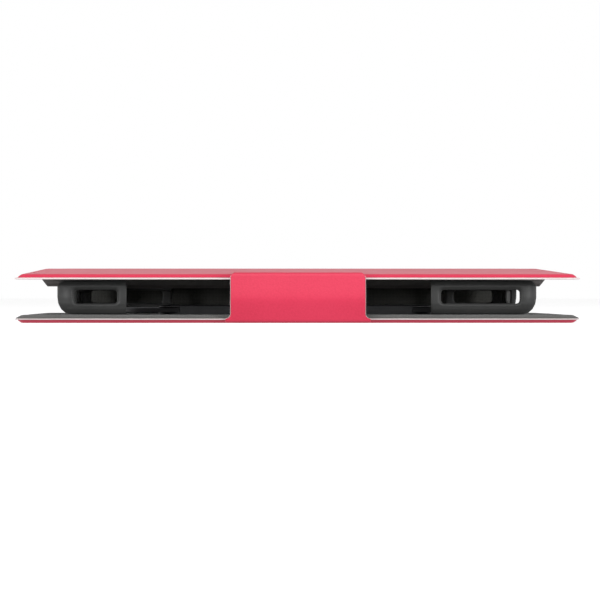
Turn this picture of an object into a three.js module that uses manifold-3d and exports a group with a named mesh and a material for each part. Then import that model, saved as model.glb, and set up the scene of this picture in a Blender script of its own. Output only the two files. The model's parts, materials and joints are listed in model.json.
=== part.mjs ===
// A folio tablet case, closed: two padded covers and a spine, a closing strap, and a
// spring-loaded holder whose four rubber corners slide out along their diagonals.
// Millimetres, +Z up. The origin is the centre of the back cover's underside, the
// spine is on the +Y side and the strap closes the -Y side.
import * as THREE from 'three';
import { mergeVertices } from 'three/addons/utils/BufferGeometryUtils.js';
import Module from 'manifold-3d';

// ---- driving dimensions -------------------------------------------------------------
const CASE_LENGTH = 272.4;
const CASE_DEPTH = 190;
const CORNER_RADIUS = 6;
const LAYER_GAP = 0.05;
const SKIN_INSET = 1.7;
const SKIN_BEVEL = 2.2;
const BOARD_INSET = 5;

const BACK_SKIN_TOP = 1.44;
const BACK_BACKING_TOP = 2.15;
const BACK_BOARD_TOP = 3.15;
const BACK_LINING_TOP = 3.9;
const BACK_LINING_INSET = 0.6;
const BACK_LINING_BEVEL = { size: 3, thickness: 1.4 };

const FRONT_TOP_AT_SPINE = 27.9;
const FRONT_TOP_AT_STRAP = 23.4;
const FRONT_SKIN = 1.65;
const FRONT_BOARD_COVER = 0.7;
const FRONT_BACKING = 0.5;
const FRONT_LINING = 0.35;
const FRONT_LINING_INSET = 1.8;

const SPINE_LENGTH = 243;
const SPINE_BOTTOM = 1.2;
const SPINE_TOP = 26.7;
const HINGE_GAP = 3;

const RIDGE_HEIGHT = 5.6;
const RIDGE_WIDTH = 8;
const RIDGE_TAPER = 4.3;
const RIDGE_DRAFT = 0.6;
const RIDGE_CHAMFER = 1.6;
const RIDGES = [
  { name: 'stand_ridge_near', y: -22, length: 236 },
  { name: 'stand_ridge_middle', y: 0, length: 236 },
  { name: 'stand_ridge_far', y: 22, length: 263.4 },
];

const STRAP_WIDTH = 64.6;
const TAB_WIDTH = 62;
const STRAP_SKIN = 0.65;
const STRAP_LINING = 0.3;
const STRAP_LINING_INSET = 0.5;
const STRAP_BULGE = 2.3;
const STRAP_CREASE = { height: 0.47, softness: 0.08 };
const STRAP_BASE = { y: -96.7, z: 0.9 };
const STRAP_FOLD = { y: -97, z: 23.9 };
const TAB_START_Y = -95.6;
const TAB_END_Y = -55;
const TAB_CLEARANCE = 0.12;
const TAB_CORNER = 6;
const MAGNET_STRIP = { length: 52, depth: 14, y: -173, corner: 1.5 };
const TAB_MAGNET = { length: 48, depth: 11, y: -173, corner: 1, thickness: 0.41 };

const HOLDER_LENGTH = 233;
const HOLDER_DEPTH = 164;
const HOLDER_BOTTOM = 4.05;
const HOLDER_TOP = 20.35;
const HOLDER_CORNER = 8;
const LOWER_ROUNDING = { size: 6.5, thickness: 8.2, segments: 4 };
const UPPER_CHAMFER = { size: 2, thickness: 2.3 };
const GRIP_WALL = 3;
const GRIP_LIP = 6;
const LIP_CORNER = 4;
const GRIP_LEG = 10;
const GRIP_WEB = 28;
const LEG_END_DRAFT = 0.8;
const SHORT_LEG = 34;
const LONG_LEG = 52;
const SEAT_BOTTOM = 8.4;
const SEAT_TOP = 15.9;
const WINDOW_START = 8.8;
const SIDE_WINDOW_START = 18;
const WINDOW_BOTTOM = 9.3;
const WINDOW_HEIGHT = 6.7;
const WINDOW_RADIUS = 1.5;
const SHORT_WINDOW = 20.4;
const LONG_WINDOW = 38;

const HUB_LENGTH = 136;
const HUB_DEPTH = 100;
const HUB_CORNER = 10;
const HUB_BOTTOM = 4.0;
const HUB_TOP = 8.35;
const HUB_LID = 0.8;
const HUB_LID_CHAMFER = { size: 0.4, thickness: 0.4 };
const HUB_FLOOR = 0.75;
const HUB_POST_RADIUS = 4;
const PLATE = { length: 122, depth: 90, corner: 5 };
const SCREW = { hole: 1.3, seat: 2.6, shank: 1, head: 2.1, tip: 2.5, sunk: 0.1 };

const ARM_WIDTH = 15;
const ARM_BOTTOM = 5.0;
const ARM_THICKNESS = 2;
const ARM_START = 28;
const ARM_END = 122;
const ARM_HOLE = 1.8;
const ARM_SLOT_START = 60;
const RIVET = { hole: 1.9, seat: 2.9, shank: 1.5, head: 2.6, foot: 4.4, headBottom: 7.75, top: 8.3 };
const RIVET_CLEARANCE = 0.1;
const FIT = 0.3;
const SPRING = { coilRadius: 0.9, wireRadius: 0.26, turns: 7, stepsPerTurn: 7, wireSides: 5 };
const SPRING_GAP = { atPost: 1.2, atArm: 0.8, aboveMiddle: 0.1 };

// Tools that only cut reach this far past what they cut.
const OVERCUT = 1;

const CORNERS = [
  { name: 'near_left', x: -1, y: -1, legX: SHORT_LEG, legY: LONG_LEG },
  { name: 'near_right', x: 1, y: -1, legX: LONG_LEG, legY: SHORT_LEG },
  { name: 'far_right', x: 1, y: 1, legX: SHORT_LEG, legY: LONG_LEG },
  { name: 'far_left', x: -1, y: 1, legX: LONG_LEG, legY: SHORT_LEG },
];
const HUB_SCREWS = [
  { name: 'hub_screw_left', x: -54, y: 0 },
  { name: 'hub_screw_right', x: 54, y: 0 },
  { name: 'hub_screw_near', x: 0, y: -39 },
  { name: 'hub_screw_far', x: 0, y: 39 },
];

const DIAGONAL = Math.atan2(HOLDER_DEPTH, HOLDER_LENGTH);
const FRONT_SLOPE = Math.atan2(FRONT_TOP_AT_SPINE - FRONT_TOP_AT_STRAP, CASE_DEPTH);

// ---- materials ----------------------------------------------------------------------
const finish = (color, roughness, metalness = 0) =>
  new THREE.MeshStandardMaterial({ color, roughness, metalness });
const PINK_LEATHERETTE = finish(0xe84262, 0.5);
const CUT_EDGE = finish(0xe1d7d5, 0.85);
const GREYBOARD = finish(0x8d8a84, 0.9);
const GREY_WEAVE = finish(0x696964, 0.95);
const GREY_RUBBER = finish(0x4b4c4c, 0.75);
const GREY_PLASTIC = finish(0x55565a, 0.55);
const STEEL = finish(0xb9bcc0, 0.35, 1);
const MAGNET = finish(0x3a3a3d, 0.6, 0.4);

// ---- solids -------------------------------------------------------------------------
const wasm = await Module();
wasm.setup();

function toManifold(geometry) {
  const bare = new THREE.BufferGeometry();
  bare.setAttribute('position', geometry.attributes.position.clone());
  if (geometry.index) bare.setIndex(geometry.index.clone());
  const merged = mergeVertices(bare, 1e-4);
  return new wasm.Manifold(new wasm.Mesh({
    numProp: 3,
    vertProperties: new Float32Array(merged.attributes.position.array),
    triVerts: new Uint32Array(merged.index.array),
  }));
}

function toGeometry(manifold) {
  const { vertProperties, triVerts } = manifold.getMesh();
  const geometry = new THREE.BufferGeometry();
  geometry.setAttribute('position', new THREE.BufferAttribute(vertProperties, 3));
  geometry.setIndex(new THREE.BufferAttribute(triVerts, 1));
  geometry.computeVertexNormals();
  return geometry;
}

const cut = (body, ...tools) =>
  toGeometry(tools.reduce((left, tool) => left.subtract(toManifold(tool)), toManifold(body)));
const join = (...bodies) =>
  toGeometry(bodies.map(toManifold).reduce((whole, body) => whole.add(body)));
const common = (...bodies) =>
  toGeometry(bodies.map(toManifold).reduce((whole, body) => whole.intersect(body)));

// A rectangle with round corners, centred on (x, y).
function roundedRectangle(length, depth, radius, x = 0, y = 0) {
  const [left, right] = [x - length / 2, x + length / 2];
  const [low, high] = [y - depth / 2, y + depth / 2];
  const shape = new THREE.Shape();
  shape.moveTo(left + radius, low);
  shape.lineTo(right - radius, low);
  shape.absarc(right - radius, low + radius, radius, -Math.PI / 2, 0);
  shape.lineTo(right, high - radius);
  shape.absarc(right - radius, high - radius, radius, 0, Math.PI / 2);
  shape.lineTo(left + radius, high);
  shape.absarc(left + radius, high - radius, radius, Math.PI / 2, Math.PI);
  shape.lineTo(left, low + radius);
  shape.absarc(left + radius, low + radius, radius, Math.PI, Math.PI * 1.5);
  return shape;
}

// A flat outline raised from one height to another.
function prism(shape, bottom, top, curveSegments = 5) {
  const geometry = new THREE.ExtrudeGeometry(shape, {
    depth: top - bottom, bevelEnabled: false, curveSegments,
  });
  return geometry.translate(0, 0, bottom);
}

function block(x0, x1, y0, y1, z0, z1) {
  const geometry = new THREE.BoxGeometry(x1 - x0, y1 - y0, z1 - z0);
  return geometry.translate((x0 + x1) / 2, (y0 + y1) / 2, (z0 + z1) / 2);
}

// A prism with its lower or upper edge bevelled: the other end of a taller, doubly
// bevelled extrusion is trimmed off.
function bevelled(shape, bottom, top, bevel, edge) {
  const { size, thickness, segments = 1 } = bevel;
  const depth = top - bottom + OVERCUT;
  const geometry = new THREE.ExtrudeGeometry(shape, {
    depth,
    bevelEnabled: true,
    bevelSize: size,
    bevelOffset: -size,
    bevelThickness: thickness,
    bevelSegments: segments,
    curveSegments: 5,
  });
  geometry.translate(0, 0, edge === 'lower' ? bottom + thickness : top - thickness - depth);
  const reach = CASE_LENGTH;
  return common(geometry, block(-reach, reach, -reach, reach, bottom, top));
}

// A hole or a pin: a lathe profile of [radius, height] points turned about (x, y).
function turned(profile, x, y, segments = 14) {
  const points = profile.map(([radius, height]) => new THREE.Vector2(radius, height));
  const geometry = new THREE.LatheGeometry(points, segments);
  return geometry.rotateX(Math.PI / 2).translate(x, y, 0);
}

const pin = (radius, bottom, top, x, y) =>
  turned([[0, bottom], [radius, bottom], [radius, top], [0, top]], x, y);

// An outline drawn in the Y-Z plane, carried along X and centred on it.
function acrossX(shape, width, curveSegments = 5) {
  const geometry = new THREE.ExtrudeGeometry(shape, {
    depth: width, bevelEnabled: false, curveSegments,
  });
  geometry.translate(0, 0, -width / 2);
  return geometry.applyMatrix4(new THREE.Matrix4().makeBasis(
    new THREE.Vector3(0, 1, 0), new THREE.Vector3(0, 0, 1), new THREE.Vector3(1, 0, 0),
  ));
}

const group = new THREE.Group();
function add(name, geometry, material, parent = group) {
  const mesh = new THREE.Mesh(geometry, material);
  mesh.name = name;
  parent.add(mesh);
}

// ---- back cover ---------------------------------------------------------------------
// The covers stop short of the spine, where the leatherette alone turns the corner.
const PANEL_DEPTH = CASE_DEPTH - HINGE_GAP;
const panel = (inset, radius = CORNER_RADIUS) => roundedRectangle(
  CASE_LENGTH - 2 * inset, PANEL_DEPTH - 2 * inset, Math.max(radius - inset, 1), 0, -HINGE_GAP / 2,
);

function backingPlateShape(spare) {
  const { length, depth, corner } = PLATE;
  return roundedRectangle(length + 2 * spare, depth + 2 * spare, corner);
}

const screwHoles = () =>
  HUB_SCREWS.map(({ x, y }) => pin(SCREW.hole, -OVERCUT, HOLDER_TOP, x, y));

function addBackCover() {
  const skinBevel = { size: SKIN_BEVEL, thickness: BACK_SKIN_TOP };
  const skin = bevelled(panel(SKIN_INSET), 0, BACK_SKIN_TOP, skinBevel, 'lower');
  add('back_cover_skin', skin, PINK_LEATHERETTE);

  const backingBottom = BACK_SKIN_TOP + LAYER_GAP;
  add('back_cover_backing', prism(panel(0), backingBottom, BACK_BACKING_TOP), CUT_EDGE);

  const boardBottom = BACK_BACKING_TOP + 2 * LAYER_GAP;
  const board = prism(panel(BOARD_INSET), boardBottom, BACK_BOARD_TOP);
  const plateWindow = prism(backingPlateShape(FIT), 0, HOLDER_TOP);
  add('back_cover_board', cut(board, plateWindow), GREYBOARD);

  const plate = prism(backingPlateShape(0), boardBottom, BACK_BOARD_TOP);
  add('hub_backing_plate', cut(plate, ...screwHoles()), STEEL);

  const liningBottom = BACK_BACKING_TOP + LAYER_GAP;
  const lining = bevelled(
    panel(BACK_LINING_INSET), liningBottom, BACK_LINING_TOP, BACK_LINING_BEVEL, 'upper',
  );
  const boardPocket = prism(panel(BOARD_INSET - FIT), 0, BACK_BOARD_TOP + LAYER_GAP);
  add('back_cover_lining', cut(lining, boardPocket, ...screwHoles()), GREY_WEAVE);
}

// ---- spine --------------------------------------------------------------------------
// Each layer's depth below the outer face runs from `outer` to `inner`.
const SPINE_LAYERS = [
  { name: 'spine_skin', outer: 0, inner: 0.8, inset: 0, material: PINK_LEATHERETTE },
  { name: 'spine_board', outer: 0.85, inner: 1.75, inset: 1.5, material: GREYBOARD },
  { name: 'spine_lining', outer: 1.8, inner: 2.4, inset: 0.5, material: GREY_WEAVE },
];

function addSpine() {
  const outside = CASE_DEPTH / 2;
  for (const { name, outer, inner, inset, material } of SPINE_LAYERS) {
    const half = SPINE_LENGTH / 2 - inset;
    const [bottom, top] = [SPINE_BOTTOM + inset, SPINE_TOP - inset];
    add(name, block(-half, half, outside - inner, outside - outer, bottom, top), material);
  }
}

// ---- front cover --------------------------------------------------------------------
// Drawn flat with its outer face at z = 0, then tilted down towards the strap.
const frontCover = new THREE.Group();
frontCover.position.set(0, CASE_DEPTH / 2, FRONT_TOP_AT_SPINE);
frontCover.rotation.x = FRONT_SLOPE;
group.add(frontCover);

const magnetOutline = ({ length, depth, corner }, spare, y) =>
  roundedRectangle(length + 2 * spare, depth + 2 * spare, corner, 0, y);

function addFrontCover() {
  const centred = (geometry) => geometry.translate(0, -CASE_DEPTH / 2, 0);
  const put = (name, geometry, material) => add(name, centred(geometry), material, frontCover);
  const skinBevel = { size: SKIN_BEVEL, thickness: FRONT_SKIN };
  const skin = bevelled(panel(SKIN_INSET), -FRONT_SKIN, 0, skinBevel, 'upper');
  const boardBottom = -FRONT_SKIN + LAYER_GAP;
  const boardTop = -FRONT_BOARD_COVER;
  const pocketBottom = -FRONT_SKIN - OVERCUT;
  const boardPocket = prism(panel(BOARD_INSET - FIT), pocketBottom, boardTop + LAYER_GAP);
  put('front_cover_skin', cut(skin, boardPocket), PINK_LEATHERETTE);

  const stripY = MAGNET_STRIP.y + CASE_DEPTH / 2;
  const strip = magnetOutline(MAGNET_STRIP, 0, stripY);
  const stripHole = prism(magnetOutline(MAGNET_STRIP, FIT, stripY), pocketBottom, OVERCUT);
  const board = prism(panel(BOARD_INSET), boardBottom, boardTop);
  put('front_cover_board', cut(board, stripHole), GREYBOARD);
  put('front_cover_magnet_strip', prism(strip, boardBottom, boardTop), MAGNET);

  const backingTop = -FRONT_SKIN - LAYER_GAP;
  const backingBottom = backingTop - FRONT_BACKING;
  put('front_cover_backing', prism(panel(0), backingBottom, backingTop), CUT_EDGE);
  const liningTop = backingBottom - LAYER_GAP;
  const liningBottom = liningTop - FRONT_LINING;
  const lining = prism(panel(FRONT_LINING_INSET), liningBottom, liningTop);
  put('front_cover_lining', lining, GREY_WEAVE);

  for (const ridge of RIDGES) put(ridge.name, standRidge(ridge, liningBottom), GREY_RUBBER);
}

// A bar on the inside of the front cover, narrower and shorter at its free edge.
function standRidge({ y, length }, coverInside) {
  const root = coverInside - LAYER_GAP;
  const tip = root - RIDGE_HEIGHT;
  const side = new THREE.Shape();
  side.moveTo(-length / 2, 0);
  side.lineTo(-length / 2 + RIDGE_TAPER, -RIDGE_HEIGHT);
  side.lineTo(length / 2 - RIDGE_TAPER, -RIDGE_HEIGHT);
  side.lineTo(length / 2, 0);
  const along = new THREE.ExtrudeGeometry(side, { depth: RIDGE_WIDTH, bevelEnabled: false });
  along.rotateX(Math.PI / 2).translate(0, y + RIDGE_WIDTH / 2, root);

  const outline = [
    [RIDGE_WIDTH / 2, root],
    [RIDGE_WIDTH / 2 - RIDGE_DRAFT, tip + RIDGE_CHAMFER],
    [RIDGE_WIDTH / 2 - RIDGE_DRAFT - RIDGE_CHAMFER, tip],
  ];
  const near = outline.map(([half, z]) => new THREE.Vector2(y - half, z));
  const far = outline.map(([half, z]) => new THREE.Vector2(y + half, z)).reverse();
  const section = new THREE.Shape([...near, ...far]);
  return common(along, acrossX(section, length));
}

// ---- strap --------------------------------------------------------------------------
// The riser is creased outward: how far its face stands out, from 0 at both its ends to
// 1 at the crease, for a height share t.
function creased(t) {
  const { height, softness } = STRAP_CREASE;
  const fall = (distance) => Math.hypot(distance, softness) - softness;
  return 1 - fall(t - height) / fall(t < height ? height : 1 - height);
}

// A layer of the riser, from one depth below its outer face to another.
function riserLayer(from, to, width) {
  const steps = 10;
  const side = (depth) => Array.from({ length: steps + 1 }, (_, i) => {
    const t = i / steps;
    const y = STRAP_BASE.y + (STRAP_FOLD.y - STRAP_BASE.y) * t;
    const z = STRAP_BASE.z + (STRAP_FOLD.z - STRAP_BASE.z) * t;
    return new THREE.Vector2(y - STRAP_BULGE * creased(t) + depth, z);
  });
  return acrossX(new THREE.Shape([...side(from), ...side(to).reverse()]), width);
}

function tabOutline(inset) {
  const half = TAB_WIDTH / 2 - inset;
  const start = TAB_START_Y - CASE_DEPTH / 2;
  const end = TAB_END_Y - CASE_DEPTH / 2 - inset;
  const shape = new THREE.Shape();
  shape.moveTo(-half, start);
  shape.lineTo(half, start);
  shape.lineTo(half, end - TAB_CORNER);
  shape.absarc(half - TAB_CORNER, end - TAB_CORNER, TAB_CORNER, 0, Math.PI / 2);
  shape.lineTo(-half + TAB_CORNER, end);
  shape.absarc(-half + TAB_CORNER, end - TAB_CORNER, TAB_CORNER, Math.PI / 2, Math.PI);
  return shape;
}

function addStrap() {
  const liningDepth = STRAP_SKIN + 2 * LAYER_GAP;
  const liningWidth = STRAP_WIDTH - 2 * STRAP_LINING_INSET;
  const riserLining = riserLayer(liningDepth, liningDepth + STRAP_LINING, liningWidth);
  add('strap_riser_skin', riserLayer(0, STRAP_SKIN, STRAP_WIDTH), PINK_LEATHERETTE);
  add('strap_riser_lining', riserLining, GREY_WEAVE);

  const put = (name, geometry, material) => add(name, geometry, material, frontCover);
  const liningTop = TAB_CLEARANCE + STRAP_LINING;
  put('strap_tab_lining', prism(tabOutline(STRAP_LINING_INSET), TAB_CLEARANCE, liningTop), GREY_WEAVE);

  const skinBottom = liningTop + LAYER_GAP;
  const stripTop = skinBottom + TAB_MAGNET.thickness;
  const skin = prism(tabOutline(0), skinBottom, skinBottom + STRAP_SKIN);
  const pocket = magnetOutline(TAB_MAGNET, FIT / 2, TAB_MAGNET.y);
  put('strap_tab_skin', cut(skin, prism(pocket, 0, stripTop + LAYER_GAP)), PINK_LEATHERETTE);
  const strip = magnetOutline(TAB_MAGNET, 0, TAB_MAGNET.y);
  put('strap_magnet_strip', prism(strip, skinBottom + LAYER_GAP / 4, stripTop), MAGNET);
}

// ---- hub ----------------------------------------------------------------------------
// A bar of the given width lying along one diagonal, from one radius to another, is what
// each arm is and what each channel takes away.
const alongDiagonal = ({ x, y }, radius) =>
  [x * radius * Math.cos(DIAGONAL), y * radius * Math.sin(DIAGONAL)];

const diagonalAngle = (corner) => Math.atan2(...alongDiagonal(corner, 1).reverse());

function diagonalBar(corner, from, to, width, bottom, top, roundEnd = false) {
  const bar = new THREE.Shape();
  bar.moveTo(from, -width / 2);
  bar.lineTo(to, -width / 2);
  if (roundEnd) bar.absarc(to, 0, width / 2, -Math.PI / 2, Math.PI / 2);
  bar.lineTo(to, width / 2);
  bar.lineTo(from, width / 2);
  return prism(bar, bottom, top).rotateZ(diagonalAngle(corner));
}

function addHub() {
  const outline = roundedRectangle(HUB_LENGTH, HUB_DEPTH, HUB_CORNER);
  const lidBottom = HUB_TOP - HUB_LID;
  const shellTop = lidBottom - LAYER_GAP;
  const channelFloor = HUB_BOTTOM + HUB_FLOOR;
  const channelWidth = ARM_WIDTH + 2 * FIT;
  const channels = CORNERS.map((corner) =>
    diagonalBar(corner, 0, HUB_LENGTH, channelWidth, channelFloor, HUB_TOP));
  const tray = cut(prism(outline, HUB_BOTTOM, shellTop), ...channels, ...screwHoles());
  const post = pin(HUB_POST_RADIUS, (HUB_BOTTOM + channelFloor) / 2, shellTop, 0, 0);
  add('hub_housing', join(tray, post), GREY_PLASTIC);

  const seatProfile = [
    [0, 0], [SCREW.hole, 0], [SCREW.hole, lidBottom], [SCREW.seat, HUB_TOP], [0, HUB_TOP],
  ];
  const seats = HUB_SCREWS.map(({ x, y }) => turned(seatProfile, x, y));
  const lid = bevelled(outline, lidBottom, HUB_TOP, HUB_LID_CHAMFER, 'upper');
  add('hub_lid', cut(lid, ...seats), GREY_PLASTIC);

  const headTop = HUB_TOP - SCREW.sunk;
  const screwProfile = [
    [0, SCREW.tip], [SCREW.shank, SCREW.tip], [SCREW.shank, lidBottom], [SCREW.head, headTop],
    [0, headTop],
  ];
  for (const { name, x, y } of HUB_SCREWS) add(name, turned(screwProfile, x, y), STEEL);
}

// ---- sliding arms, corner grips and springs -----------------------------------------
function gripRegion({ x, y, legX, legY }) {
  const [cornerX, cornerY] = [HOLDER_LENGTH / 2, HOLDER_DEPTH / 2];
  const outline = [
    [-OVERCUT, -OVERCUT],
    [legX, -OVERCUT],
    [legX - LEG_END_DRAFT, GRIP_LEG],
    [GRIP_WEB, GRIP_LEG],
    [GRIP_LEG, GRIP_WEB],
    [GRIP_LEG, legY - LEG_END_DRAFT],
    [-OVERCUT, legY],
  ];
  return new THREE.Shape(outline.map(([u, v]) =>
    new THREE.Vector2(x * (cornerX - u), y * (cornerY - v))));
}

// The window in one leg, as a round-cornered bar through the wall. The window in a leg
// along Y ends in the same place, and starts further from the corner.
function gripWindow(corner, alongX) {
  const leg = alongX ? corner.legX : corner.legY;
  const start = alongX ? WINDOW_START : SIDE_WINDOW_START;
  const end = WINDOW_START + (leg === SHORT_LEG ? SHORT_WINDOW : LONG_WINDOW);
  const [width, middle] = [end - start, (start + end) / 2];
  const height = WINDOW_BOTTOM + WINDOW_HEIGHT / 2;
  const depth = GRIP_WALL + 2 * OVERCUT;
  const bar = new THREE.ExtrudeGeometry(
    roundedRectangle(width, WINDOW_HEIGHT, WINDOW_RADIUS),
    { depth, bevelEnabled: false, curveSegments: 3 },
  );
  bar.translate(0, 0, -depth / 2).rotateX(Math.PI / 2);
  const [wallX, wallY] = [HOLDER_LENGTH, HOLDER_DEPTH].map((size) => (size - GRIP_WALL) / 2);
  if (alongX) {
    const x = corner.x * (HOLDER_LENGTH / 2 - middle);
    return bar.translate(x, corner.y * wallY, height);
  }
  bar.rotateZ(Math.PI / 2);
  return bar.translate(corner.x * wallX, corner.y * (HOLDER_DEPTH / 2 - middle), height);
}

function addGrip(corner, envelope, cavity) {
  const [rivetX, rivetY] = alongDiagonal(corner, ARM_END);
  const slotWidth = ARM_WIDTH + 2 * FIT;
  const [slotBottom, slotTop] = [ARM_BOTTOM - FIT, ARM_BOTTOM + ARM_THICKNESS + FIT];
  const slot = diagonalBar(corner, ARM_SLOT_START, ARM_END, slotWidth, slotBottom, slotTop, true);
  const { foot, headBottom, top } = RIVET;
  const headed = (shank, head, spare, end) => turned([
    [0, foot - spare], [shank, foot - spare], [shank, headBottom - spare],
    [head, headBottom - spare], [head, end], [0, end],
  ], rivetX, rivetY);
  const rivetSeat = headed(RIVET.hole, RIVET.seat, RIVET_CLEARANCE, top + OVERCUT);
  const corners = common(envelope, prism(gripRegion(corner), 0, HOLDER_TOP + OVERCUT));
  const grip = cut(
    corners, ...cavity, slot, rivetSeat, gripWindow(corner, true), gripWindow(corner, false),
  );
  add(`grip_${corner.name}`, grip, GREY_RUBBER);
  add(`rivet_${corner.name}`, headed(RIVET.shank, RIVET.head, 0, top), STEEL);
}

function addArm(corner) {
  const [rivetX, rivetY] = alongDiagonal(corner, ARM_END);
  const armTop = ARM_BOTTOM + ARM_THICKNESS;
  const bar = diagonalBar(corner, ARM_START, ARM_END, ARM_WIDTH, ARM_BOTTOM, armTop, true);
  add(`arm_${corner.name}`, cut(bar, pin(ARM_HOLE, 0, HOLDER_TOP, rivetX, rivetY)), GREY_PLASTIC);
}

// A tension spring between the post in the middle of the hub and the arm's inner end.
class Coil extends THREE.Curve {
  constructor(radius, length, turns) {
    super();
    Object.assign(this, { radius, length, turns });
  }

  getPoint(t, target = new THREE.Vector3()) {
    const angle = 2 * Math.PI * this.turns * t;
    return target.set(
      this.length * t, this.radius * Math.cos(angle), this.radius * Math.sin(angle),
    );
  }
}

function addSpring(corner) {
  const { coilRadius, wireRadius, turns, stepsPerTurn, wireSides } = SPRING;
  const start = HUB_POST_RADIUS + SPRING_GAP.atPost;
  const length = ARM_START - SPRING_GAP.atArm - start;
  const wire = new THREE.Shape(Array.from({ length: wireSides }, (_, i) => {
    const angle = 2 * Math.PI * i / wireSides;
    return new THREE.Vector2(Math.cos(angle), Math.sin(angle)).multiplyScalar(wireRadius);
  }));
  const spring = new THREE.ExtrudeGeometry(wire, {
    steps: turns * stepsPerTurn,
    curveSegments: 1,
    extrudePath: new Coil(coilRadius, length, turns),
  });
  const middle = ARM_BOTTOM + ARM_THICKNESS / 2 + SPRING_GAP.aboveMiddle;
  spring.translate(start, 0, middle).rotateZ(diagonalAngle(corner));
  add(`arm_spring_${corner.name}`, spring, STEEL);
}

function addHolder() {
  const outline = roundedRectangle(HOLDER_LENGTH, HOLDER_DEPTH, HOLDER_CORNER);
  const envelope = common(
    bevelled(outline, HOLDER_BOTTOM, HOLDER_TOP, LOWER_ROUNDING, 'lower'),
    bevelled(outline, HOLDER_BOTTOM, HOLDER_TOP, UPPER_CHAMFER, 'upper'),
  );
  const inside = (wall, radius) =>
    roundedRectangle(HOLDER_LENGTH - 2 * wall, HOLDER_DEPTH - 2 * wall, radius);
  const cavity = [
    prism(inside(GRIP_WALL, HOLDER_CORNER - GRIP_WALL), SEAT_BOTTOM, SEAT_TOP),
    prism(inside(GRIP_LIP, LIP_CORNER), SEAT_TOP - OVERCUT, HOLDER_TOP + OVERCUT),
  ];
  for (const corner of CORNERS) {
    addGrip(corner, envelope, cavity);
    addArm(corner);
    addSpring(corner);
  }
}

addBackCover();
addSpine();
addFrontCover();
addStrap();
addHub();
addHolder();

export default group;
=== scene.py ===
"""Looks for the folio tablet case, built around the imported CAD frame.

Shapes are drawn in millimetres in the frame's own axes and turned into metres when a mesh
is made. Positions come from the CAD nodes' boxes; details are named values below.
"""

import json
import math

import bpy
import numpy as np
from mathutils import Matrix, Vector


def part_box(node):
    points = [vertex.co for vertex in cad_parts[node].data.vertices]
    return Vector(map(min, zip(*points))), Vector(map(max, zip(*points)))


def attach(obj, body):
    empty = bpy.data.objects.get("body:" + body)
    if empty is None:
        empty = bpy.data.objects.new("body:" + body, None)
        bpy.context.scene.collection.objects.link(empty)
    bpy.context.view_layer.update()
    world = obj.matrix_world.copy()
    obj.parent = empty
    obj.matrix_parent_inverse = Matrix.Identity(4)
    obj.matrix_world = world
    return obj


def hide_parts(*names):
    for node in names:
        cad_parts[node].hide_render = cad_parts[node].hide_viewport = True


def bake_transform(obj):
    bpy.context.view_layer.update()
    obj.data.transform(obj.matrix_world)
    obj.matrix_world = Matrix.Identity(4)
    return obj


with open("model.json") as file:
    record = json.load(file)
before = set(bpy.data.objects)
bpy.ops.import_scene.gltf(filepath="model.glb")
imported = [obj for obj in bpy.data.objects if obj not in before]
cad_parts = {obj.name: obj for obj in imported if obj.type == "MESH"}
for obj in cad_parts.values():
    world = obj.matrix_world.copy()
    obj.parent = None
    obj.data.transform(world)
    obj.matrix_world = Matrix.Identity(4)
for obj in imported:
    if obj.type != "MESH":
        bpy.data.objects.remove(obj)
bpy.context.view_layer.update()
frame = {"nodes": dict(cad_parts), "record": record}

MM = 0.001


def extent(node):
    """Lowest and highest corner of a CAD node, in millimetres."""
    low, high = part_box(node)
    return np.array(low) / MM, np.array(high) / MM


# ---- driving values, in millimetres ---------------------------------------------------
BACK_LOW, BACK_HIGH = extent("back_cover_skin")
LINING_LOW, LINING_HIGH = extent("back_cover_lining")
SPINE_HIGH = extent("spine_skin")[1]
RISER_LOW, RISER_HIGH = extent("strap_riser_skin")
TAB_HIGH = extent("strap_tab_skin")[1]
EDGE_LOW, EDGE_HIGH = extent("back_cover_backing")
HALF_LENGTH = EDGE_HIGH[0]
NEAR_Y, HINGE_Y = EDGE_LOW[1], EDGE_HIGH[1]
SPINE_Y = SPINE_HIGH[1]
HALF_SPINE = SPINE_HIGH[0]
CORNER_RADIUS = 6.0
SKIN_INSET = 1.6
EDGE_BEVEL = 2.2
SKIN_THICKNESS = 0.8

FRONT_TOP_AT_SPINE = 27.9
FRONT_TOP_AT_STRAP = 23.4
SLOPE = math.atan2(FRONT_TOP_AT_SPINE - FRONT_TOP_AT_STRAP, SPINE_Y - NEAR_Y)
FRONT_FRAME = Matrix.Translation((0, SPINE_Y, FRONT_TOP_AT_SPINE)) @ Matrix.Rotation(SLOPE, 4, "X")
FRONT_NEAR, FRONT_FAR = NEAR_Y - SPINE_Y, HINGE_Y - SPINE_Y
FRONT_SKIN_BOTTOM = -1.65
FRONT_LINING_MARGIN = 1.85

STRAP_HALF, TAB_HALF = RISER_HIGH[0], TAB_HIGH[0]
STRAP_SKIN = 0.62
STRAP_BACKING = 0.3
BACKING_SHOWS = 0.2
STRAP_GAP = 0.02
STRAP_FOOT_Y, STRAP_LEAN = -96.7, 0.3
STRAP_BULGE = 2.3
STRAP_CREASE, CREASE_SOFTNESS = 0.47, 0.08
STRAP_SEAM_Z = 5.0
BASE_FILLET = 2.5
FILLET_FOOT_Z = 1.9
SHOULDER_RADIUS = 2.4
TAB_CORNER = 6.0
TAB_LIFT = 1.1
# The strap's path as (y past the covers' near edge, z): round its foot, and over the top fold.
STRAP_FOOT = [(3.4, 0.02), (1.0, 0.02), (0.1, 0.04), (-0.7, 0.2), (-1.35, 0.62), (-1.72, 1.15)]
STRAP_FOLD = [(-2.25, 22.9), (-2.1, 23.35), (-1.75, 23.75), (-1.2, 24.05), (-0.4, 24.25), (0.8, 24.4)]
FOOT_TOP_Z, FOLD_START_Z, TAB_FLAT_START = 1.6, 22.4, 2.5
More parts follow.
